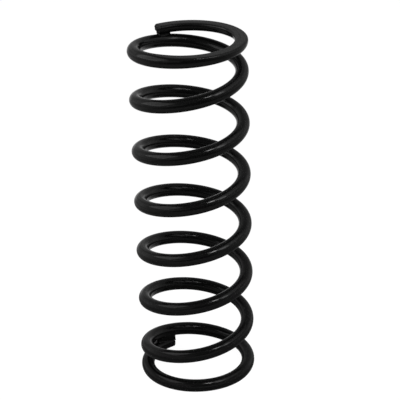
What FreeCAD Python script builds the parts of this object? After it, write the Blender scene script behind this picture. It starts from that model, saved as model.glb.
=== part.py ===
# Coilover spring: one round steel wire, wound right-handed into a compression spring.
# Each end coil closes onto the coil beside it and is ground flat, so the spring stands square on its seats.
# The axis is +Z, and the lower ground face lies at Z = 0. Lengths are in millimetres.
import FreeCAD, Part
import math
import os

from Part import Geom2d

# Driving dimensions
free_length = 254.0  # between the two ground faces
inner_diameter = 64.5  # slips over the damper body and the pilot of each seat
wire_diameter = 9.3
total_turns = 8.008  # of wire, from tip to tip
lower_tip_angle = 120.8  # degrees about +Z, from +X to the lower tip
closed_gap = 0.2  # left between a tip and the coil that it closes onto
lower_ground_depth = 1.44  # of wire taken off the lower end by the grinding
upper_ground_depth = 2.73
lower_opening_turns = 0.577  # stretch of wire over which the pitch opens from closed to full
upper_opening_turns = 0.829

# Values worked out from them
wire_radius = wire_diameter / 2
coil_radius = inner_diameter / 2 + wire_radius  # from the axis to the centre of the wire
closed_rise = wire_diameter + closed_gap  # centre to centre, where a tip lies on the next coil
lower_tip_height = wire_radius - lower_ground_depth
upper_tip_height = free_length - wire_radius + upper_ground_depth
wound_height = upper_tip_height - lower_tip_height

PITCH_PASSES = 20  # each pass settles the pitch to about a tenth of the last error


def closed_turns(opening_turns, pitch):
    """Turns from a tip before the pitch starts to open, so that the first full turn just clears the wire.

    The pitch grows evenly from nothing to its full value over the opening, so the wire's height
    follows a parabola there and a straight line after it.
    """
    rise_share = closed_rise / pitch
    if opening_turns < 2 * rise_share:
        return 1 - rise_share - opening_turns / 2
    return 1 - math.sqrt(2 * opening_turns * rise_share)


def working_pitch():
    """Pitch of the working coils, for which both closed ends and the coils between them fill the height."""
    pitch = wound_height / (total_turns - 2)
    for _ in range(PITCH_PASSES):
        lower_lost = closed_turns(lower_opening_turns, pitch) + lower_opening_turns / 2
        upper_lost = closed_turns(upper_opening_turns, pitch) + upper_opening_turns / 2
        pitch = wound_height / (total_turns - lower_lost - upper_lost)
    return pitch


def centreline():
    """The wire's centre, drawn as height against angle and wrapped round the coil's cylinder.

    Closed coils are level lines, openings are parabolas and the working coils are one slanting line.
    """
    pitch = working_pitch()
    mandrel = Part.Cylinder()
    mandrel.Radius = coil_radius

    def unrolled(turns, height):
        return FreeCAD.Base.Vector2d(math.radians(lower_tip_angle + 360 * turns), height)

    def level(start, end):
        return Geom2d.Line2dSegment(start, end).toShape(mandrel)

    def opening(start, end, level_height):
        parabola = Geom2d.BezierCurve2d()
        corner = FreeCAD.Base.Vector2d((start.x + end.x) / 2, level_height)
        parabola.setPoles([start, corner, end])
        return parabola.toShape(mandrel)

    lower_closed = closed_turns(lower_opening_turns, pitch)
    upper_closed = total_turns - closed_turns(upper_opening_turns, pitch)
    lower_tip = unrolled(0, lower_tip_height)
    lower_lift = unrolled(lower_closed, lower_tip_height)
    lower_open = unrolled(lower_closed + lower_opening_turns, lower_tip_height + pitch * lower_opening_turns / 2)
    upper_open = unrolled(upper_closed - upper_opening_turns, upper_tip_height - pitch * upper_opening_turns / 2)
    upper_lift = unrolled(upper_closed, upper_tip_height)
    upper_tip = unrolled(total_turns, upper_tip_height)
    return Part.Wire(
        [
            level(lower_tip, lower_lift),
            opening(lower_lift, lower_open, lower_tip_height),
            level(lower_open, upper_open),
            opening(upper_open, upper_lift, upper_tip_height),
            level(upper_lift, upper_tip),
        ]
    )


def wire_section():
    """The round section of the wire, square to it at the lower tip."""
    angle = math.radians(lower_tip_angle)
    centre = FreeCAD.Vector(coil_radius * math.cos(angle), coil_radius * math.sin(angle), lower_tip_height)
    along = FreeCAD.Vector(-math.sin(angle), math.cos(angle), 0)
    return Part.Wire([Part.Circle(centre, along, wire_radius).toShape()])


def coil_spring():
    """The wound wire, with what stands past the two end planes ground away."""
    wound = centreline().makePipeShell([wire_section()], True, True)
    between_seats = Part.makeCylinder(coil_radius + wire_diameter, free_length)
    return wound.common(between_seats).Solids[0]


os.makedirs("parts", exist_ok=True)
coil_spring().exportStep("parts/coil_spring.step")
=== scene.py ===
"""Coilover spring in a black powder coat, standing on a white floor among soft studio lights.

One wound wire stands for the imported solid. Its winding repeats the solid's own sizes, so it lies where the
solid does. It adds what the solid leaves plain: softened edges along the ground faces, torn and rounded cut
tips, coat that has run together beside the tips, and the coat itself. The wire's sizes are in millimetres,
and the scene is in metres.
"""
import logging
import math
from collections.abc import Callable
from dataclasses import dataclass, fields
from enum import Enum
from functools import cached_property, partial

import bpy
import numpy as np
from mathutils import Matrix, Vector


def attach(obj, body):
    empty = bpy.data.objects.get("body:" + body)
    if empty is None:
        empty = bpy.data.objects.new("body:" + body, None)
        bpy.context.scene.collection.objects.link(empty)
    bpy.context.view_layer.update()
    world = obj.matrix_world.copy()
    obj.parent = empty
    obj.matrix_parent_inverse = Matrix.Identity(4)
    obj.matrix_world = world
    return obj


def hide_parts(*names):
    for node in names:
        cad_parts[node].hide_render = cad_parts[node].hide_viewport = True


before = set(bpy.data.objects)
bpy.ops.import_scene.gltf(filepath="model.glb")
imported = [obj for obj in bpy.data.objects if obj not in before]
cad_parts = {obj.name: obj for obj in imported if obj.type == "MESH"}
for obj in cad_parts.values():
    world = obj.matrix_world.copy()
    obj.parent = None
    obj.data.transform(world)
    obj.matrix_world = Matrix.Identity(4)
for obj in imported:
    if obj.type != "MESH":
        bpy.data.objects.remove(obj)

MM = 0.001
TINY = 1e-6  # keeps a divisor away from nothing
WHITE = (1.0, 1.0, 1.0, 1.0)
AREA_POWER = 4.0  # watts on each square metre of a light that looks like a white sheet
NOISE_SPAN = (0.3, 0.7)  # nearly all values of a noise texture lie between these
WAVE_RATE = 20.0  # a wave texture of scale 1 goes through this many radians in a metre
LOG = logging.getLogger("coil_spring")

Socket = bpy.types.NodeSocket
NodeAdder = Callable[..., bpy.types.Node]

NODE = "coil_spring"
BODY = "root"
BAKE_MAP = "OFBake"  # the UV map that an export draws the coat through
WIRE_RUN = "wire_run"  # place on the wire as if it were unwound, straight along X
GROUND = "ground_face"  # 1 on the two ground end faces
CUT = "cut_face"  # 1 on the two cut tips
# painted reflection: the level at which the coat sees the floor at each point of the glowing sheet
MIRROR_GLOW = "mirror_glow"  # how bright the coat sees the floor


class WireEnd(Enum):
    """The two ends of the wire. The value is the way that the end's ground face looks along Z."""

    LOWER = -1
    UPPER = 1


class Ray(Enum):
    """Kinds of ray that see the floor as a clean white sweep, by the names of their sockets."""

    CAMERA = "Is Camera Ray"
    GLOSSY = "Is Glossy Ray"
    TRANSMISSION = "Is Transmission Ray"


def linear_colour(code: str) -> tuple[float, float, float, float]:
    """Turns an sRGB hex colour into linear light.

    Args:
        code: Six hex digits after a hash sign.

    Returns:
        Linear red, green and blue, with an alpha of one.
    """
    shares = [int(code[i : i + 2], 16) / 255 for i in (1, 3, 5)]
    red, green, blue = [s / 12.92 if s <= 0.04045 else ((s + 0.055) / 1.055) ** 2.4 for s in shares]
    return red, green, blue, 1.0


def add_node(
    tree: bpy.types.NodeTree,
    kind: str,
    settings: dict[str, object] | None = None,
    inputs: dict[str | int, object] | None = None,
) -> bpy.types.Node:
    """Adds a node, sets it up and links it.

    Args:
        tree: The node tree that the node goes into.
        kind: The node's type name, without the ShaderNode that it starts with.
        settings: Properties of the node by name.
        inputs: Values of its sockets, or output sockets to link to them, by socket name or number.

    Returns:
        The new node.
    """
    node = tree.nodes.new(f"ShaderNode{kind}")
    for name, value in (settings or {}).items():
        setattr(node, name, value)
    for name, value in (inputs or {}).items():
        if isinstance(value, Socket):
            tree.links.new(value, node.inputs[name])
        else:
            node.inputs[name].default_value = value
    return node


def node_adder(owner: bpy.types.Material | bpy.types.World) -> NodeAdder:
    """Gives a new material or world an empty node tree.

    Args:
        owner: The material or world.

    Returns:
        The function add_node, for that tree.
    """
    owner.use_nodes = True
    owner.node_tree.nodes.clear()
    return partial(add_node, owner.node_tree)


def new_mesh(name: str, points: np.ndarray, corners: np.ndarray, sides: np.ndarray) -> bpy.types.Mesh:
    """Makes a mesh of a surface worked out with arrays, shaded smooth.

    Args:
        name: The mesh's name.
        points: Vertex places in metres, one row each.
        corners: Vertex numbers of all faces, one face after the other.
        sides: Number of corners of each face.

    Returns:
        The mesh.
    """
    mesh = bpy.data.meshes.new(name)
    mesh.vertices.add(len(points))
    mesh.vertices.foreach_set("co", points.astype(np.float32).ravel())
    mesh.loops.add(len(corners))
    mesh.loops.foreach_set("vertex_index", corners.astype(np.int32))
    mesh.polygons.add(len(sides))
    mesh.polygons.foreach_set("loop_start", (np.cumsum(sides) - sides).astype(np.int32))
    mesh.polygons.foreach_set("use_smooth", np.ones(len(sides), bool))
    mesh.update(calc_edges=True)
    mesh.validate()
    return mesh


def add_object(name: str, data: bpy.types.ID) -> bpy.types.Object:
    """Puts data into the scene as an object at the origin.

    Args:
        name: The object's name.
        data: A mesh, light or camera.

    Returns:
        The new object.
    """
    made = bpy.data.objects.new(name, data)
    bpy.context.scene.collection.objects.link(made)
    return made


@dataclass(frozen=True)
class WirePath:
    """Stations along the wire, one row of each array per station, in millimetres."""

    centre: np.ndarray  # of the wire
    outward: np.ndarray  # unit direction away from the coil's axis
    upward: np.ndarray  # unit direction square to the wire and to outward
    run: np.ndarray  # length of wire from the lower tip


@dataclass(frozen=True)
class Winding:
    """How the wire is wound: a right-hand coil whose two ends close onto the coil beside them.

    Lengths are in millimetres. The lower ground face lies at Z = 0 and the axis is +Z.
    """

    free_length: float = 254.0  # between the two ground faces
    inner_diameter: float = 64.5
    wire_diameter: float = 9.3
    total_turns: float = 8.008  # of wire, from tip to tip
    lower_tip_angle: float = 120.8  # degrees about +Z, from +X
    closed_gap: float = 0.2  # left between a tip and the coil that it closes onto
    lower_ground_depth: float = 1.44  # of wire taken off by the grinding
    upper_ground_depth: float = 2.73
    lower_opening_turns: float = 0.577  # over which the pitch opens from closed to full
    upper_opening_turns: float = 0.829
    pitch_passes: int = 20  # each settles the pitch to about a tenth of the last error

    @property
    def wire_radius(self) -> float:
        """Half of the wire's diameter."""
        return self.wire_diameter / 2

    @property
    def coil_radius(self) -> float:
        """From the axis to the wire's centre."""
        return self.inner_diameter / 2 + self.wire_radius

    def ground_height(self, end: WireEnd) -> float:
        """Height of an end's ground face."""
        return 0.0 if end is WireEnd.LOWER else self.free_length

    def tip_height(self, end: WireEnd) -> float:
        """Height of the wire's centre at a tip, which the grinding brings nearer to the end face."""
        if end is WireEnd.LOWER:
            return self.wire_radius - self.lower_ground_depth
        return self.free_length - self.wire_radius + self.upper_ground_depth

    def opening_turns(self, end: WireEnd) -> float:
        """Turns over which the pitch opens from closed to full at an end."""
        return self.lower_opening_turns if end is WireEnd.LOWER else self.upper_opening_turns

    def closed_turns(self, end: WireEnd, pitch: float) -> float:
        """Turns from a tip before the pitch starts to open.

        The height is level, then a parabola over the opening, then a straight line. The level part is as
        long as it takes for one full turn from the tip to rise by the wire's diameter and the gap.

        Args:
            end: Which end of the wire.
            pitch: Pitch of the working coils.

        Returns:
            The level part's length in turns.
        """
        share = (self.wire_diameter + self.closed_gap) / pitch
        opening = self.opening_turns(end)
        return 1 - share - opening / 2 if opening < 2 * share else 1 - math.sqrt(2 * opening * share)

    @cached_property
    def pitch(self) -> float:
        """Pitch of the working coils, for which both ends and the coils between them fill the height."""
        height = self.tip_height(WireEnd.UPPER) - self.tip_height(WireEnd.LOWER)
        pitch = height / (self.total_turns - 2)
        for _ in range(self.pitch_passes):
            lost = sum(self.closed_turns(end, pitch) + self.opening_turns(end) / 2 for end in WireEnd)
            pitch = height / (self.total_turns - lost)
        return pitch

    def rise(self, end: WireEnd, turns: np.ndarray) -> tuple[np.ndarray, np.ndarray]:
        """Height gained from a tip, and its rate per turn.

        With s the level part, w the opening, p the pitch and u = turns - s held between 0 and w, the rise
        is p u u / 2w, and p for each turn past the opening. The rate is p u / w.

        Args:
            end: The tip that turns are counted from.
            turns: Turns from that tip.

        Returns:
            The rise and its rate, as arrays like turns.
        """
        level, opening = self.closed_turns(end, self.pitch), self.opening_turns(end)
        into = np.clip(turns - level, 0, opening)
        past = np.clip(turns - level - opening, 0, None)
        return self.pitch * (into**2 / (2 * opening) + past), self.pitch * into / opening

    def path(self, turns: np.ndarray) -> WirePath:
        """The wire's centre and its section's directions.

        The centre is (R cos a, R sin a, z), with the angle a a full circle per turn and z the rise from
        the nearer end. The wire runs along (R da, dz), so upward is that direction turned a quarter back.

        Args:
            turns: Turns from the lower tip.

        Returns:
            The stations.
        """
        angle = math.radians(self.lower_tip_angle) + 2 * math.pi * turns
        low_rise, low_rate = self.rise(WireEnd.LOWER, turns)
        high_rise, high_rate = self.rise(WireEnd.UPPER, self.total_turns - turns)
        lower = turns < self.total_turns / 2
        low_tip, high_tip = self.tip_height(WireEnd.LOWER), self.tip_height(WireEnd.UPPER)
        height = np.where(lower, low_tip + low_rise, high_tip - high_rise)
        slope = np.where(lower, low_rate, high_rate) / (2 * math.pi * self.coil_radius)
        cos, sin, none = np.cos(angle), np.sin(angle), np.zeros_like(angle)
        outward = np.stack([cos, sin, none], 1)
        upward = np.stack([slope * sin, -slope * cos, none + 1], 1) / np.hypot(1, slope)[:, None]
        centre = outward * self.coil_radius + np.stack([none, none, height], 1)
        steps = np.linalg.norm(np.diff(centre, axis=0), axis=1)
        return WirePath(centre, outward, upward, np.concatenate([[0.0], np.cumsum(steps)]))


@dataclass(frozen=True)
class GroundSection:
    """The wire's section: a circle, cut by a chord where an end was ground, with softened corners.

    Its ring of points goes round from the inner side, past the bottom, the outer side and the top. Each
    half, bottom and top, spends its points on two sides, two corners and a flat, so that the edges of a
    ground face run along the grid and don't cut across it.
    """

    radius: float  # of the wire, in millimetres
    corner: float = 1.5  # radius of a softened corner, in millimetres
    side_steps: int = 10  # points on each side, corner and flat
    corner_steps: int = 4
    flat_steps: int = 8
    least_flat: float = 0.28  # radians that their points still take up where nothing is ground
    least_corner: float = 0.42

    @property
    def half_steps(self) -> int:
        """Points on each half of the ring."""
        return 2 * self.side_steps + 2 * self.corner_steps + self.flat_steps

    def half(self, distance: np.ndarray, inset: np.ndarray) -> tuple[np.ndarray, np.ndarray, np.ndarray]:
        """One half of the ring, as reach against angle from the ground side's direction.

        With r the radius, h the distance to the chord and f the corner's radius, the corner's centre lies
        at x = sqrt((r - f)^2 - (h - f)^2) to the side. The flat ends at atan(x / h) and the corner at
        atan(x / (h - f)). The reach is h / cos on the flat, the far meeting with the corner's circle on
        the corner, and r on the rest. An inset takes the same length off r, h and f.

        Args:
            distance: From the wire's centre to the ground plane at each station.
            inset: How far the section lies inside its full size at each station.

        Returns:
            Angle, reach and share of ground face, each with a row per station.
        """
        r, h, f = (size - inset[:, None] for size in (self.radius, distance[:, None], self.corner))
        aside = np.sqrt(np.clip((r - f) ** 2 - (h - f) ** 2, 0, None))
        flat_end, corner_end = np.arctan2(aside, h), np.arctan2(aside, h - f)
        quarter = np.full_like(r, math.pi / 2)
        near = np.maximum(flat_end, self.least_flat)
        far = np.maximum(corner_end, self.least_corner)
        knots = np.hstack([-quarter, -far, -near, near, far, quarter])
        spans = [self.side_steps, self.corner_steps, self.flat_steps, self.corner_steps, self.side_steps]
        places = np.cumsum([0, *spans])
        shares = np.stack([np.interp(np.arange(self.half_steps), places, row) for row in np.eye(len(places))])
        angle = knots @ shares
        away = np.abs(angle)
        chord = h / np.clip(np.cos(away), TINY, None)
        along = aside * np.sin(away) + (h - f) * np.cos(away)
        bend = along + np.sqrt(np.clip(along**2 - (r - f) ** 2 + f**2, 0, None))
        reach = np.where(away <= flat_end, chord, np.where(away < corner_end, bend, r))
        ground = np.clip((corner_end - away) / np.clip(corner_end - flat_end, TINY, None), 0, 1)
        return angle, np.minimum(reach, r), np.where(aside > 0, ground, 0.0)


@dataclass(frozen=True)
class Skin:
    """A surface held as arrays, with a row for each vertex, face or face corner."""

    points: np.ndarray  # places of the vertices, in millimetres
    unwound: np.ndarray  # the same places with the wire pulled straight along X
    ground: np.ndarray  # share of ground face at each vertex
    cut: np.ndarray  # share of cut tip at each vertex
    corners: np.ndarray  # vertex numbers of all faces, one face after the other
    sides: np.ndarray  # number of corners of each face
    flat: np.ndarray  # place of each face corner on the flat map

    @classmethod
    def joined(cls, skins: list["Skin"]) -> "Skin":
        """Puts several skins together, unwelded.

        Args:
            skins: The skins in order.

        Returns:
            One skin with all their faces.
        """
        names = [part.name for part in fields(cls)]
        parts = {name: np.concatenate([getattr(skin, name) for skin in skins]) for name in names}
        first = np.cumsum([0, *(len(skin.points) for skin in skins[:-1])])
        parts["corners"] += np.repeat(first, [len(skin.corners) for skin in skins])
        return cls(**parts)

    def mesh(self, name: str) -> bpy.types.Mesh:
        """Makes a mesh of the skin, with its masks and maps.

        Args:
            name: The mesh's name.

        Returns:
            The mesh, in metres.
        """
        mesh = new_mesh(name, self.points * MM, self.corners, self.sides)
        for mask, values in ((GROUND, self.ground), (CUT, self.cut)):
            layer = mesh.attributes.new(mask, "FLOAT", "POINT")
            layer.data.foreach_set("value", values.astype(np.float32))
        layer = mesh.attributes.new(WIRE_RUN, "FLOAT_VECTOR", "POINT")
        layer.data.foreach_set("vector", (self.unwound * MM).astype(np.float32).ravel())
        mesh.uv_layers.new(name=BAKE_MAP).data.foreach_set("uv", self.flat.astype(np.float32).ravel())
        return mesh


def grid_faces(rows: int, ring: int) -> np.ndarray:
    """Vertex numbers of the faces between rings of points that close on themselves.

    Args:
        rows: Number of rings.
        ring: Points on each ring.

    Returns:
        Four numbers for each face, in an array of rows - 1 by ring by four.
    """
    i, j = np.meshgrid(np.arange(rows - 1), np.arange(ring), indexing="ij")
    after = (j + 1) % ring
    return np.stack([i * ring + j, (i + 1) * ring + j, (i + 1) * ring + after, i * ring + after], 2)


@dataclass(frozen=True)
class CoatBridge:
    """Coat that has run together in the crevice between a tip and the coil beside it, in millimetres."""

    winding: Winding
    end: WireEnd  # which tip
    waist: float  # half of its thickness at the tip, midway between the wires
    length: float  # of crevice that it fills
    before: float  # how far it stands out before the tip's plane, or behind it if negative
    sunk: float = 0.04  # how far its faces are moved in, so that their edges lie inside the wires
    core: float = 0.7  # where its hidden edges lie inside the wires, as a share of their radius
    steps: int = 16  # along the crevice
    # Points across each hollow face, as shares of the way from one wire to the other
    face_shares: tuple[float, ...] = (0.0, 0.05, 0.25, 0.5, 0.75, 0.95, 1.0)
    strip_step: float = 0.6  # width of each of its strips of faces on the flat map
    cap_places: tuple[float, float] = (21.0, 31.0)  # its two ends on the flat map

    def build(self, corner: tuple[float, float], scale: float) -> Skin:
        """Works out the bridge's skin.

        At each station the tip's wire and its neighbour, both of radius r, lie D apart. The bridge's two
        faces touch both wires as a fillet does. With w half of the thickness, the fillet's radius is
        f = (D D / 4 + w w - r r) / (2 (r - w)), and its centre lies w + f to the side, midway between the
        wires. Its arc reaches a = atan(D / 2 (w + f)) to each side. Away from the tip, w shrinks to nothing
        like the quarter of an ellipse.

        Args:
            corner: Where its faces start on the flat map.
            scale: The flat map's scale per millimetre.

        Returns:
            The skin.
        """
        wire, radius = self.winding, self.winding.wire_radius
        per_turn = 2 * math.pi * wire.coil_radius
        sweep = np.linspace(-math.asin(self.before / self.length), math.pi / 2, self.steps)
        turns = self.length * np.sin(sweep) / per_turn
        beside = np.clip(turns, 0, None)
        apart = (wire.rise(self.end, beside + 1)[0] - wire.rise(self.end, beside)[0])[:, None]
        half = self.waist * np.cos(sweep)[:, None]
        fillet = (apart**2 / 4 + half**2 - radius**2) / (2 * (radius - half))
        bend = np.arctan2(apart / 2, half + fillet) * (2 * np.array(self.face_shares) - 1)
        out = half - self.sunk + fillet * (1 - np.cos(bend))
        over = apart / 2 + fillet * np.sin(bend)
        none, deep = np.zeros_like(apart), np.full_like(apart, self.core * radius)
        aside = np.hstack([out, none, -out[:, ::-1], none])
        along = np.hstack([over, apart - deep, over[:, ::-1], deep])
        tip = wire.path(turns if self.end is WireEnd.LOWER else wire.total_turns - turns)
        toward = np.array([0, 0, -self.end.value])
        points = tip.centre[:, None] + aside[..., None] * tip.outward[:, None] + along[..., None] * toward
        run = np.broadcast_to(turns[:, None] * per_turn, aside.shape)
        unwound = np.stack([run, aside, along], 2).reshape(-1, 3)
        ring = aside.shape[1]
        quads = grid_faces(*aside.shape)
        caps = np.concatenate([np.arange(ring), np.arange(len(unwound) - ring, len(unwound))[::-1]])
        step = (np.arange(ring)[None, :, None] + np.array([0, 0, 1, 1]) + 0 * quads) * self.strip_step
        strip = np.stack([unwound[quads, 0], step], 3).reshape(-1, 2)
        ends = unwound[caps, 1:] + np.repeat([[place, 0] for place in self.cap_places], ring, axis=0)
        plain = np.zeros(len(unwound))
        return Skin(
            points=points.reshape(-1, 3),
            unwound=unwound,
            ground=plain,
            cut=plain,
            corners=np.concatenate([quads.ravel(), caps]),
            sides=np.concatenate([np.full(quads.shape[0] * ring, 4), [ring, ring]]),
            flat=np.concatenate([strip, ends]) * scale + np.array(corner),
        )


@dataclass(frozen=True)
class Grain:
    """A pattern of noise in the coat, in millimetres."""

    size: float  # width of its spots or lines
    depth: float = 0.0  # of its relief
    swing: float = 0.0  # how far it moves roughness or shine up and down, as a share
    detail: float = 1.0  # finer layers upon the first
    fineness: float = 0.45  # strength of each finer layer, as a share of the one before it


@dataclass(frozen=True)
class CoatPatch:
    """How the coat looks on one kind of surface."""

    colour: str  # of its darker places
    pale_colour: str
    roughness: float  # under the glossy layer
    shine: float  # strength of that layer


@dataclass(frozen=True)
class PowderCoat:
    """Black polyester powder coat, sprayed and baked on shot-peened spring steel.

    To the eye it is a deep black with a half gloss, brighter at a glance along it than face on: soft boxes
    show as pale streaks along the wire, a little broken up by orange peel and by the lines that drawing left
    in the wire. The ground faces are flatter and greyer, with faint arcs from the grinding wheel, and the cut
    tips are dull, because the coat lies on rougher metal there. Real peel, lines, arcs and tears are a few
    tenths of a millimetre wide. A pixel is wider than that, so they are drawn at one to two millimetres.
    """

    name: str = "black_powder_coat"
    wire: CoatPatch = CoatPatch("#0c0c0c", "#131313", 0.22, 0.74)
    ground: CoatPatch = CoatPatch("#1a1a1a", "#212121", 0.36, 0.66)  # the two ground faces
    cut: CoatPatch = CoatPatch("#1c1c1c", "#242424", 0.5, 0.48)  # the two cut tips
    index: float = 1.5  # refractive index under the glossy layer
    shine_index: float = 1.3  # refractive index of that layer
    shine_roughness: float = 0.14
    drift: Grain = Grain(14.0, swing=0.14, detail=3.0, fineness=0.6)  # of colour and roughness
    mottle: Grain = Grain(1.6, swing=0.16, detail=2.0, fineness=0.5)  # spots of shine
    streaks: Grain = Grain(1.5, swing=0.22, detail=2.0, fineness=0.5)  # of shine, along the wire
    waves: Grain = Grain(4.5, depth=0.03)  # where the coat ran before it set
    peel: Grain = Grain(1.3, depth=0.01)
    lines: Grain = Grain(1.5, depth=0.05)  # from drawing, along the wire
    tears: Grain = Grain(1.1, depth=0.22, detail=4.0)  # from shearing, on the tips
    line_run: float = 45.0  # length of a line or streak, in millimetres
    arc_step: float = 1.6  # spacing and depth of the grinding arcs, in millimetres
    arc_depth: float = 0.05
    arc_waver: float = 1.5  # how far they stray from round, in radians of their own wave
    arc_detail: tuple[float, float] = (2.0, 3.0)  # finer layers of that straying, and their scale
    wheel_centre: tuple[float, float] = (-160.0, -20.0)  # middle of the arcs, in millimetres

    def build(self) -> bpy.types.Material:
        """Makes the material.

        Returns:
            The powder coat, with its colour, gloss and grain worked out from the wire's own places.
        """
        material = bpy.data.materials.new(self.name)
        node = node_adder(material)
        marks = self.patterns(node)
        colour, roughness, shine = self.tones(node, marks)
        relief = self.relief(node, marks)
        shader = node(
            "BsdfPrincipled",
            inputs={
                "Base Color": colour,
                "Roughness": roughness,
                "IOR": self.index,
                "Specular IOR Level": 0.0,  # the glossy layer alone reflects
                "Normal": relief,
                "Coat Weight": shine,
                "Coat Roughness": self.shine_roughness,
                "Coat IOR": self.shine_index,
                "Coat Normal": relief,
            },
        )
        node("OutputMaterial", inputs={"Surface": shader.outputs["BSDF"]})
        return material

    def patterns(self, node: NodeAdder) -> dict[str, Socket]:
        """The masks of the ground and cut faces, the grains and the grinding arcs.

        Lines and streaks lie on the straightened wire, drawn together along it. The arcs are rings about
        the middle of the grinding wheel.

        Args:
            node: Adds nodes to the material.

        Returns:
            Their sockets by name.
        """
        place = node("TexCoord").outputs["Object"]
        run = node("Attribute", {"attribute_name": WIRE_RUN}).outputs["Vector"]
        squeeze = (self.lines.size / self.line_run, 1.0, 1.0)
        lengthwise = node("VectorMath", {"operation": "MULTIPLY"}, {0: run, 1: squeeze}).outputs["Vector"]
        marks = {mask: node("Attribute", {"attribute_name": mask}).outputs["Fac"] for mask in (GROUND, CUT)}
        for name in ("drift", "mottle", "waves", "peel", "tears", "lines", "streaks"):
            grain: Grain = getattr(self, name)
            inputs = {"Scale": 1 / (grain.size * MM), "Detail": grain.detail, "Roughness": grain.fineness}
            inputs["Vector"] = lengthwise if name in ("lines", "streaks") else place
            marks[name] = node("TexNoise", inputs=inputs).outputs["Fac"]
        shift = tuple(-side * MM for side in self.wheel_centre)
        wheel = node("Mapping", inputs={"Vector": place, "Location": (*shift, 0.0)})
        detail, detail_scale = self.arc_detail
        inputs = {
            "Vector": wheel.outputs["Vector"],
            "Scale": 2 * math.pi / WAVE_RATE / (self.arc_step * MM),
            "Distortion": self.arc_waver,
            "Detail": detail,
            "Detail Scale": detail_scale,
        }
        rings = {"wave_type": "RINGS", "rings_direction": "Z"}
        marks["arcs"] = node("TexWave", rings, inputs).outputs["Fac"]
        return marks

    def tones(self, node: NodeAdder, marks: dict[str, Socket]) -> tuple[Socket, Socket, Socket]:
        """The coat's colour, roughness and shine, on the wire and under the masks of its faces.

        Args:
            node: Adds nodes to the material.
            marks: The masks and patterns.

        Returns:
            Sockets with the three values.
        """
        colours = []
        for name, patch in (("drift", self.wire), ("arcs", self.ground), ("tears", self.cut)):
            dark, pale = linear_colour(patch.colour), linear_colour(patch.pale_colour)
            mixed = node("Mix", {"data_type": "RGBA"}, {"Factor": marks[name], "A": dark, "B": pale})
            colours.append(mixed.outputs["Result"])
        least, most = NOISE_SPAN
        spreads = []
        for name, grain, middle in (
            ("drift", self.drift, self.wire.roughness),
            ("mottle", self.mottle, 1.0),
            ("streaks", self.streaks, 1.0),
        ):
            inputs = {"Value": marks[name], "From Min": least, "From Max": most}
            inputs |= {"To Min": middle * (1 - grain.swing), "To Max": middle * (1 + grain.swing)}
            spreads.append(node("MapRange", inputs=inputs).outputs["Result"])
        colour, ground_colour, cut_colour = colours
        roughness, mottle, streaks = spreads
        shine = self.wire.shine
        for mask, tone, patch in (
            (marks[GROUND], ground_colour, self.ground),
            (marks[CUT], cut_colour, self.cut),
        ):
            colour, roughness, shine = (
                node("Mix", {"data_type": kind}, {"Factor": mask, "A": plain, "B": other}).outputs["Result"]
                for kind, plain, other in (
                    ("RGBA", colour, tone),
                    ("FLOAT", roughness, patch.roughness),
                    ("FLOAT", shine, patch.shine),
                )
            )
        for uneven in (mottle, streaks):
            shine = node("Math", {"operation": "MULTIPLY"}, {0: shine, 1: uneven}).outputs[0]
        return colour, roughness, shine

    def relief(self, node: NodeAdder, marks: dict[str, Socket]) -> Socket:
        """The coat's relief, as bumps one upon the other.

        Args:
            node: Adds nodes to the material.
            marks: The masks and patterns.

        Returns:
            The bent normal.
        """
        under = {}
        for name, depth, strength in (
            ("waves", self.waves.depth, 1.0),
            ("peel", self.peel.depth, 1.0),
            ("lines", self.lines.depth, 1.0),
            ("arcs", self.arc_depth, marks[GROUND]),
            ("tears", self.tears.depth, marks[CUT]),
        ):
            inputs = {"Height": marks[name], "Strength": strength, "Distance": depth * MM}
            under = {"Normal": node("Bump", inputs=inputs | under).outputs["Normal"]}
        return under["Normal"]


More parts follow.
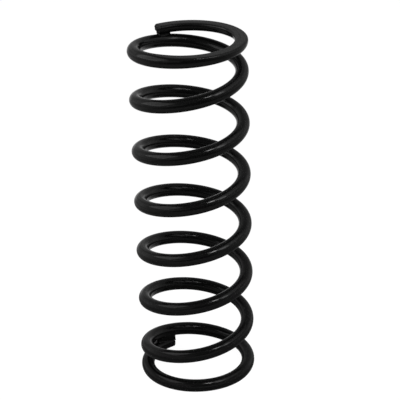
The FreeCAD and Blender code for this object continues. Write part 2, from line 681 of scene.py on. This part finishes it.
@dataclass(frozen=True)
class SpringWire:
    """The whole spring: one wire carried along its winding, with its two ground faces and cut tips.

    Lengths on the wire are in millimetres, and the flat map is one square.
    """

    winding: Winding
    coat: PowderCoat
    name: str = "wound_wire"
    rows: int = 8  # of the flat map, about a turn of wire each
    row_steps: int = 138  # stations along each row
    edge: float = 0.9  # radius of the rounded edge round a tip
    edge_steps: int = 7
    cap_shares: tuple[float, ...] = (0.12, 0.28, 0.44, 0.6, 0.76, 0.9)  # rings on a tip, as shares
    bulge: float = 1.5  # how far the middle of a sheared tip stands out
    tear: float = 0.9  # depth of the tears that shearing left in it
    # Their waves, each with its direction in degrees, its length and its start in radians
    tear_waves: tuple[tuple[float, float, float], ...] = (
        (15.0, 3.1, 0.0),
        (70.0, 2.3, 1.0),
        (120.0, 1.8, 2.0),
        (165.0, 1.4, 4.0),
    )
    # Waist, length and before of the coat bridge at each tip
    lower_bridge: tuple[float, float, float] = (3.6, 15.0, 0.5)
    upper_bridge: tuple[float, float, float] = (2.2, 9.7, -0.4)
    map_gap: float = 0.006  # clear width between rows on the flat map
    map_band: float = 0.045  # height of the band above the rows, for the tips and the coat bridges
    tip_places: tuple[float, float] = (1.0, 3.0)  # the tips' middles along that band, in band heights
    bridge_places: tuple[float, float] = (0.25, 0.4)  # the bridges' starts along it

    @cached_property
    def section(self) -> GroundSection:
        """The wire's section."""
        return GroundSection(self.winding.wire_radius)

    @property
    def tip_steps(self) -> int:
        """Stations from the middle of a tip to the end of its rounded edge."""
        return len(self.cap_shares) + self.edge_steps

    @property
    def row_height(self) -> float:
        """Height of a row on the flat map, with its gap."""
        return (1 - self.map_band) / self.rows

    @property
    def map_scale(self) -> float:
        """The flat map's scale per millimetre, for which the way round the wire fills a row."""
        return (self.row_height - self.map_gap) / (2 * math.pi * self.section.radius)

    def stations(self) -> tuple[np.ndarray, np.ndarray, np.ndarray]:
        """Where the section stands along the wire, from the middle of one tip to that of the other.

        A tip is a flat cap, whose rings are the section times a share, and a rounded edge of radius e: at
        an angle b round it, the section lies e (1 - sin b) back from the tip and is inset by e (1 - cos b).

        Returns:
            Turns from the lower tip, inset and share, each with a value per station.
        """
        bend = np.linspace(math.pi / 2, 0, self.edge_steps + 1)
        per_turn = 2 * math.pi * self.winding.coil_radius
        back, inset = self.edge * (1 - np.sin(bend)) / per_turn, self.edge * (1 - np.cos(bend))
        caps = np.array(self.cap_shares)
        tip = np.concatenate([np.zeros_like(caps), back])
        tip_inset = np.concatenate([np.full_like(caps, self.edge), inset])
        tip_share = np.concatenate([caps, np.ones_like(back)])
        last = self.winding.total_turns
        body = np.linspace(tip[-1], last - tip[-1], self.rows * self.row_steps + 1)[1:-1]
        turns = np.concatenate([tip, body, last - tip[::-1]])
        insets = np.concatenate([tip_inset, np.zeros_like(body), tip_inset[::-1]])
        shares = np.concatenate([tip_share, np.ones_like(body), tip_share[::-1]])
        return turns, insets, shares

    def torn(self, across: np.ndarray, up: np.ndarray) -> np.ndarray:
        """How far a sheared tip lies behind its plane.

        The tears are the mean of a few sine waves across the face, lifted to lie between nothing and their
        full depth. The bulge is taken off: it is full in the middle and falls with the square of the
        distance to nothing at the wire's rim.

        Args:
            across: Places on the tip, away from the coil's axis.
            up: Places on the tip, upwards.

        Returns:
            The depth at each place.
        """
        turn, length, start = np.array(self.tear_waves).T
        way = across[..., None] * np.cos(np.radians(turn)) + up[..., None] * np.sin(np.radians(turn))
        tears = self.tear * (1 + np.sin(2 * math.pi * way / length + start).mean(-1)) / 2
        return tears - self.bulge * (1 - (across**2 + up**2) / self.section.radius**2)

    def build(self) -> bpy.types.Object:
        """Works out the wire's skin and the coat bridges at its tips, and puts them into the scene.

        Returns:
            The spring as a mesh object at the origin.
        """
        sizes = (self.lower_bridge, self.upper_bridge)
        bridges = [
            CoatBridge(self.winding, end, *size).build((place, 1 - self.map_band), self.map_scale)
            for end, size, place in zip(WireEnd, sizes, self.bridge_places, strict=True)
        ]
        return add_object(self.name, Skin.joined([self.tube(), *bridges]).mesh(self.name))

    def tube(self) -> Skin:
        """Works out the wire's skin.

        A point is the wire's centre, plus its reach times (cos a outward + sin a upward), with the angle a
        carried round the section and the section carried along the winding. A tip's points lie back by its
        tears, less its bulge.

        Returns:
            The skin, closed at both tips.
        """
        turns, inset, share = self.stations()
        path = self.winding.path(turns)
        halves = []
        for end in WireEnd:
            apart = end.value * (self.winding.ground_height(end) - path.centre[:, 2]) / path.upward[:, 2]
            angle, reach, ground = self.section.half(apart, inset)
            halves.append((angle + end.value * math.pi / 2, reach * share[:, None], ground))
        angle, reach, ground = (np.hstack(parts) for parts in zip(*halves, strict=True))
        across, up = reach * np.cos(angle), reach * np.sin(angle)
        tip = self.tip_steps + 1
        back = np.zeros_like(across)
        back[:tip], back[-tip:] = self.torn(across[:tip], up[:tip]), -self.torn(across[-tip:], up[-tip:])
        forward = np.cross(path.upward, path.outward)
        points = (
            path.centre[:, None]
            + across[..., None] * path.outward[:, None]
            + up[..., None] * path.upward[:, None]
            + back[..., None] * forward[:, None]
        )
        run, cut = (np.broadcast_to(row[:, None], across.shape) for row in (path.run, inset / self.edge))
        unwound = np.stack([run, across, up], 2)
        stations, ring = angle.shape
        ends = np.array([0, stations - 1])
        quads = grid_faces(stations, ring)
        edge, top = np.arange(ring), (stations - 1) * ring
        beside, pole = (edge + 1) % ring, np.full(ring, stations * ring)
        fans = np.stack([[pole, edge, beside], [pole + 1, top + beside, top + edge]]).swapaxes(1, 2)
        straight = np.concatenate([unwound.reshape(-1, 3), unwound[ends].mean(1)])
        return Skin(
            points=np.concatenate([points.reshape(-1, 3), points[ends].mean(1)]),
            unwound=straight,
            ground=np.append(ground.ravel(), [0, 0]),
            cut=np.append(cut.ravel(), [1, 1]),
            corners=np.concatenate([quads.ravel(), fans.ravel()]),
            sides=np.concatenate([np.full(quads.shape[0] * ring, 4), np.full(2 * ring, 3)]),
            flat=self.lay_flat(angle, unwound, straight[fans]),
        )

    def lay_flat(self, angle: np.ndarray, unwound: np.ndarray, fans: np.ndarray) -> np.ndarray:
        """Lays the tube out flat: a row for each turn or so, and the two tips as discs above the rows.

        A row's length is a turn of wire and its height is the way round the wire, so eight rows nearly
        fill the square. A disc is the tip's own face at the rows' scale.

        Args:
            angle: Angle round the section.
            unwound: Places on the straightened wire, stations by ring by three.
            fans: Corners of each tip's middle faces, on the straightened wire.

        Returns:
            Two coordinates for each face corner, in the faces' order.
        """
        stations, ring = angle.shape
        gap, height, scale, tip = self.map_gap, self.row_height, self.map_scale, self.tip_steps
        row = np.clip((np.arange(stations - 1) - tip) // self.row_steps, 0, self.rows - 1)
        run = unwound[:, 0, 0]
        start = run[tip + row * self.row_steps]
        left, right = ((edge - start) * scale + gap for edge in (run[:-1], run[1:]))
        around = np.hstack([angle, angle[:, :1] + 2 * math.pi])
        around = (around + math.pi) / (2 * math.pi) * (height - gap) + gap / 2
        floor = (row * height)[:, None]
        low, high = around[:-1] + floor, around[1:] + floor
        u = np.stack([left, right, right, left], 1)[:, None] * np.ones((1, ring, 1))
        v = np.stack([low[:, :-1], high[:, :-1], high[:, 1:], low[:, 1:]], 2)
        flat = np.stack([u, v], 3)
        middles = np.array([[place, -0.5] for place in self.tip_places]) * self.map_band + [0, 1]
        low_disc, high_disc = (unwound[..., 1:] * scale + middle for middle in middles)
        low_faces = np.arange(tip)
        for faces, disc in ((low_faces, low_disc), (low_faces + stations - 1 - tip, high_disc)):
            near, far = disc[faces], disc[faces + 1]
            flat[faces] = np.stack([near, far, np.roll(far, -1, 1), np.roll(near, -1, 1)], 2)
        inner = fans[..., 1:] * scale + middles[:, None, None]
        return np.concatenate([flat.reshape(-1, 2), inner.reshape(-1, 2)])

    def dress(self, wire: bpy.types.Object) -> None:
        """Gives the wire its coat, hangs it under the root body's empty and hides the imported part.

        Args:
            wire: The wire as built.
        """
        wire.data.materials.append(self.coat.build())
        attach(wire, BODY)
        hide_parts(NODE)


@dataclass(frozen=True)
class SoftBox:
    """A soft box: an even, rectangular light that looks at the spring. Lengths are in metres."""

    name: str
    azimuth: float  # degrees round from the front, positive to the right
    elevation: float  # degrees above the horizon
    distance: float  # from the point that it looks at
    width: float
    height: float
    level: float  # how bright its middle looks, where 1 is a white sheet
    spread: float = 180.0  # degrees, which a honeycomb narrows: what lies to the side then sees it dimmer
    aim: tuple[float, float, float] = (0.0, 0.0, 0.127)  # the point that it looks at

    def build(self) -> bpy.types.Object:
        """Puts the light into the scene.

        A narrow spread gathers the same power into its middle. With h half the spread, the middle is
        brighter by 1 / (1 - h / tan h), so the power is lowered by that much.

        Returns:
            The light.
        """
        light = bpy.data.lights.new(self.name, "AREA")
        light.shape = "RECTANGLE"
        light.size, light.size_y = self.width, self.height
        half = math.radians(self.spread) / 2
        light.energy = AREA_POWER * self.level * self.width * self.height * (1 - half / math.tan(half))
        light.spread = 2 * half
        made = add_object(self.name, light)
        turn, lift = math.radians(self.azimuth), math.radians(self.elevation)
        away = Vector((math.sin(turn) * math.cos(lift), -math.cos(turn) * math.cos(lift), math.sin(lift)))
        stand = Matrix.Translation(Vector(self.aim) + away * self.distance)
        made.matrix_world = stand @ away.to_track_quat("Z", "Y").to_matrix().to_4x4()
        made.visible_camera = False
        return made


@dataclass(frozen=True)
class PictureCamera:
    """The camera at the photograph's viewing angle, for a square picture. Lengths are in millimetres."""

    name: str = "picture_camera"
    aim: tuple[float, float, float] = (5.184, 0.0, 133.335)  # a point on its axis
    distance: float = 1213.465  # from that point
    elevation: float = 24.339  # degrees above the horizon
    roll: float = 1.856  # degrees about its axis
    lens: float = 154.041
    sensor: float = 36.0  # its side

    def build(self) -> bpy.types.Object:
        """Puts the camera into the scene and makes it the scene's own.

        Returns:
            The camera.
        """
        data = bpy.data.cameras.new(self.name)
        data.lens, data.sensor_width = self.lens, self.sensor
        made = add_object(self.name, data)
        stand = Matrix.Translation(Vector(self.aim) * MM)
        lift = Matrix.Rotation(math.radians(90 - self.elevation), 4, "X")
        spin = Matrix.Rotation(math.radians(-self.roll), 4, "Z")
        made.matrix_world = stand @ lift @ spin @ Matrix.Translation((0, 0, self.distance * MM))
        bpy.context.scene.camera = made
        return made


@dataclass(frozen=True)
class Studio:
    """A white floor that fills every view, soft lights, screens in a dim room, and painted floor reflection.

    Levels are given, and 1 is a white sheet. Angles are degrees from the front, positive to the right,
    and lengths are in metres.
    """

    # Each light's name, azimuth, elevation, distance, width, height, level, spread and aim
    boxes: tuple[SoftBox, ...] = (
        SoftBox("right_spot", 32.0, 62.5, 0.8, 0.135, 0.17, 26.7, 18.0, (0.01, -0.04, 0.08)),
        SoftBox("right_strip", 58.0, 51.0, 0.57, 0.15, 0.26, 4.83, 44.0, (0.018, -0.036, 0.17)),
        SoftBox("right_fill", 84.0, 54.0, 0.65, 0.8, 0.46, 0.933, 80.0, (0.03, -0.01, 0.2)),
        SoftBox("left_soft_box", -86.0, 48.0, 0.387, 0.37, 0.25, 1.37, aim=(-0.04, -0.01, 0.127)),
        SoftBox("left_fill", -33.0, 25.0, 1.2, 0.75, 0.42, 0.25, aim=(0.0, 0.0, 0.1)),
    )
    floor_rings: tuple[float, ...] = (0.3, 1.5, 5.0, 12.0)
    floor_drop: float = 0.00005  # under the spring
    floor_segments: int = 96
    floor_colour: str = "#d2d2d2"
    floor_glow: float = 0.82  # share of plain white in a view of the floor; the rest takes the shadow
    floor_level: float = 1.19  # of that white, which makes up for the rest
    room_level: float = 0.2  # above the screens
    screen_top: tuple[float, float] = (18.0, 54.0)  # elevations between which they fade into the room
    # Angles to either side, each with the screens' level there
    screen_levels: tuple[tuple[float, float], ...] = (
        (25.0, 0.04),
        (52.0, 0.42),
        (78.0, 0.63),
        (122.0, 0.7),
        (150.0, 0.33),
        (180.0, 0.35),
    )
    # The mirror rings carry painted reflection: painted shade near the spring, painted glare behind, a
    # glowing card in front.
    mirror_rings: tuple[float, ...] = (0.002, 0.05, 0.12, 0.3, 0.36, 0.6, 1.2, 12.0)
    mirror_rises: tuple[float, ...] = (0.0, 0.0, 0.0, 0.0, 0.095, 0.0, 0.0, 0.0)  # one ring is a low card
    mirror_fade: tuple[float, float] = (50.0, 80.0)  # angles between which the card comes down to the floor
    # Angles at which each ring's painted reflection levels are given, and those levels
    mirror_angles: tuple[float, ...] = (-172.0, -145.0, -85.0, -38.0, 38.0, 90.0, 135.0, 165.0)
    mirror_levels: tuple[tuple[float, ...], ...] = (
        (0.08, 0.08, 0.08, 0.13, 0.13, 0.1, 0.08, 0.08),
        (0.13, 0.12, 0.17, 0.22, 0.22, 0.17, 0.13, 0.13),
        (0.43, 0.17, 0.22, 0.4, 0.37, 0.23, 0.27, 0.43),
        (0.67, 0.27, 0.32, 0.5, 0.47, 0.27, 0.36, 0.68),
        (0.73, 0.3, 0.38, 0.5, 0.47, 0.3, 0.4, 0.72),
        (0.87, 0.37, 0.57, 0.17, 0.12, 0.43, 0.43, 0.75),
        (0.87, 0.33, 0.53, 0.09, 0.03, 0.45, 0.37, 0.64),
        (0.5, 0.3, 0.4, 0.09, 0.03, 0.4, 0.33, 0.4),
    )
    mirror_segments: int = 72

    def build(self) -> list[bpy.types.Object]:
        """Makes the floors, the lights and the room.

        Returns:
            The floors and the lights.
        """
        self.room()
        bpy.context.scene.view_settings.view_transform = "Standard"
        return [self.floor(), self.painted_floor_reflection(), *(box.build() for box in self.boxes)]

    def floor(self) -> bpy.types.Object:
        """A flat disc, as rings about the axis: a point is (d cos a, d sin a) for a distance d and angle a.

        Returns:
            The floor.
        """
        count = self.floor_segments
        angle = np.linspace(0, 2 * math.pi, count, endpoint=False)
        flat = np.array(self.floor_rings)[:, None, None] * np.stack([np.cos(angle), np.sin(angle)], 1)
        points = np.concatenate([flat.reshape(-1, 2), [[0, 0]]])
        points = np.column_stack([points, np.full(len(points), -self.floor_drop)])
        quads = grid_faces(len(self.floor_rings), count)
        edge = np.arange(count)
        fan = np.stack([np.full(count, len(points) - 1), edge, (edge + 1) % count], 1)
        sides = np.concatenate([np.full(quads.shape[0] * count, 4), np.full(count, 3)])
        mesh = new_mesh("white_sweep", points, np.concatenate([quads.ravel(), fan.ravel()]), sides)
        mesh.materials.append(self.sweep_paper())
        made = add_object("white_sweep", mesh)
        return made

    def painted_floor_reflection(self) -> bpy.types.Object:
        """Painted reflection of the floor: painted shade near the spring, and painted glare behind it.

        A point is (d sin a, -d cos a) for a distance d and an angle a from the front. One ring stands up in
        front as a low glowing card, a painted reflection of a light card. Each ring has painted levels at a
        few angles, and they blend between those. Only the coat's gloss sees this sheet, so every view keeps
        the plain white floor under it.

        Returns:
            The sheet.
        """
        angle = np.linspace(-180, 180, self.mirror_segments, endpoint=False)
        turn = np.radians(angle)
        around = np.stack([np.sin(turn), -np.cos(turn), np.zeros_like(turn)], 1)
        sheet = np.array(self.mirror_rings)[:, None, None] * around
        sheet[..., 2] = np.outer(self.mirror_rises, np.interp(np.abs(angle), self.mirror_fade, (1, 0)))
        quads = grid_faces(len(self.mirror_rings), self.mirror_segments)
        sides = np.full(quads[..., 0].size, 4)
        mesh = new_mesh("painted_floor_reflection", sheet.reshape(-1, 3), quads.ravel(), sides)
        glow = np.stack([np.interp(angle, self.mirror_angles, levels) for levels in self.mirror_levels])
        layer = mesh.attributes.new(MIRROR_GLOW, "FLOAT", "POINT")
        layer.data.foreach_set("value", glow.astype(np.float32).ravel())
        mesh.materials.append(self.painted_reflection_glow())
        made = add_object("painted_floor_reflection", mesh)
        made.visible_camera = made.visible_diffuse = made.visible_shadow = False
        return made

    def painted_reflection_glow(self) -> bpy.types.Material:
        """Glowing white at each place's painted level: the floor's painted shade and glare in the coat's
        reflections.

        Returns:
            The material.
        """
        material = bpy.data.materials.new("painted_reflection_glow")
        node = node_adder(material)
        level = node("Attribute", {"attribute_name": MIRROR_GLOW}).outputs["Fac"]
        light = node("Emission", inputs={"Color": WHITE, "Strength": level})
        node("OutputMaterial", inputs={"Surface": light.outputs["Emission"]})
        return material

    def sweep_paper(self) -> bpy.types.Material:
        """White background paper, matt. It shows as white to the rays in Ray and still takes a shadow.

        Returns:
            The material.
        """
        material = bpy.data.materials.new("background_paper")
        node = node_adder(material)
        paper = node("BsdfDiffuse", inputs={"Color": linear_colour(self.floor_colour)}).outputs["BSDF"]
        glow = node("Emission", inputs={"Color": WHITE, "Strength": self.floor_level}).outputs["Emission"]
        path = node("LightPath").outputs
        seen = 0.0
        for ray in Ray:
            seen = node("Math", {"operation": "MAXIMUM"}, {0: seen, 1: path[ray.value]}).outputs[0]
        share = node("Math", {"operation": "MULTIPLY"}, {0: seen, 1: self.floor_glow}).outputs[0]
        mixed = node("MixShader", inputs={0: share, 1: paper, 2: glow})
        node("OutputMaterial", inputs={"Surface": mixed.outputs["Shader"]})
        return material

    def room(self) -> None:
        """Light from around: white screens behind and beside the spring, and a dim room elsewhere."""
        world = bpy.data.worlds.new("studio_room")
        node = node_adder(world)
        way = node("TexCoord").outputs["Generated"]
        axes = node("SeparateXYZ", inputs={"Vector": way}).outputs
        behind = node("MapRange", inputs={"Value": axes["Y"], "From Min": -1.0}).outputs["Result"]
        ramp = node("ValToRGB", inputs={"Fac": behind})
        ramp.color_ramp.interpolation = "EASE"
        marks = ramp.color_ramp.elements
        marks.remove(marks[1])
        for stop, (angle, shade) in enumerate(self.screen_levels):
            place = (1 - math.cos(math.radians(angle))) / 2
            mark = marks[0] if stop == 0 else marks.new(place)
            mark.position, mark.color = place, (shade, shade, shade, 1)
        low, high = (math.sin(math.radians(angle)) for angle in self.screen_top)
        inputs = {"Value": axes["Z"], "From Min": low, "From Max": high}
        inputs |= {"To Min": ramp.outputs["Color"], "To Max": self.room_level}
        level = node("MapRange", {"interpolation_type": "SMOOTHSTEP"}, inputs).outputs["Result"]
        back = node("Background", inputs={"Color": WHITE, "Strength": level})
        node("OutputWorld", inputs={"Surface": back.outputs["Background"]})
        bpy.context.scene.world = world


def main() -> None:
    """Builds the spring, its studio and its camera, and reports each piece."""
    logging.basicConfig(level=logging.INFO, format="%(message)s")
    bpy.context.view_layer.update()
    spring = SpringWire(Winding(), PowderCoat())
    wire = spring.build()
    spring.dress(wire)
    LOG.info("%s: %d faces, pitch %.3f mm", wire.name, len(wire.data.polygons), spring.winding.pitch)
    for made in (*Studio().build(), PictureCamera().build()):
        LOG.info("%s: %s of the stage", made.name, made.type.lower())


if __name__ == "__main__":
    main()
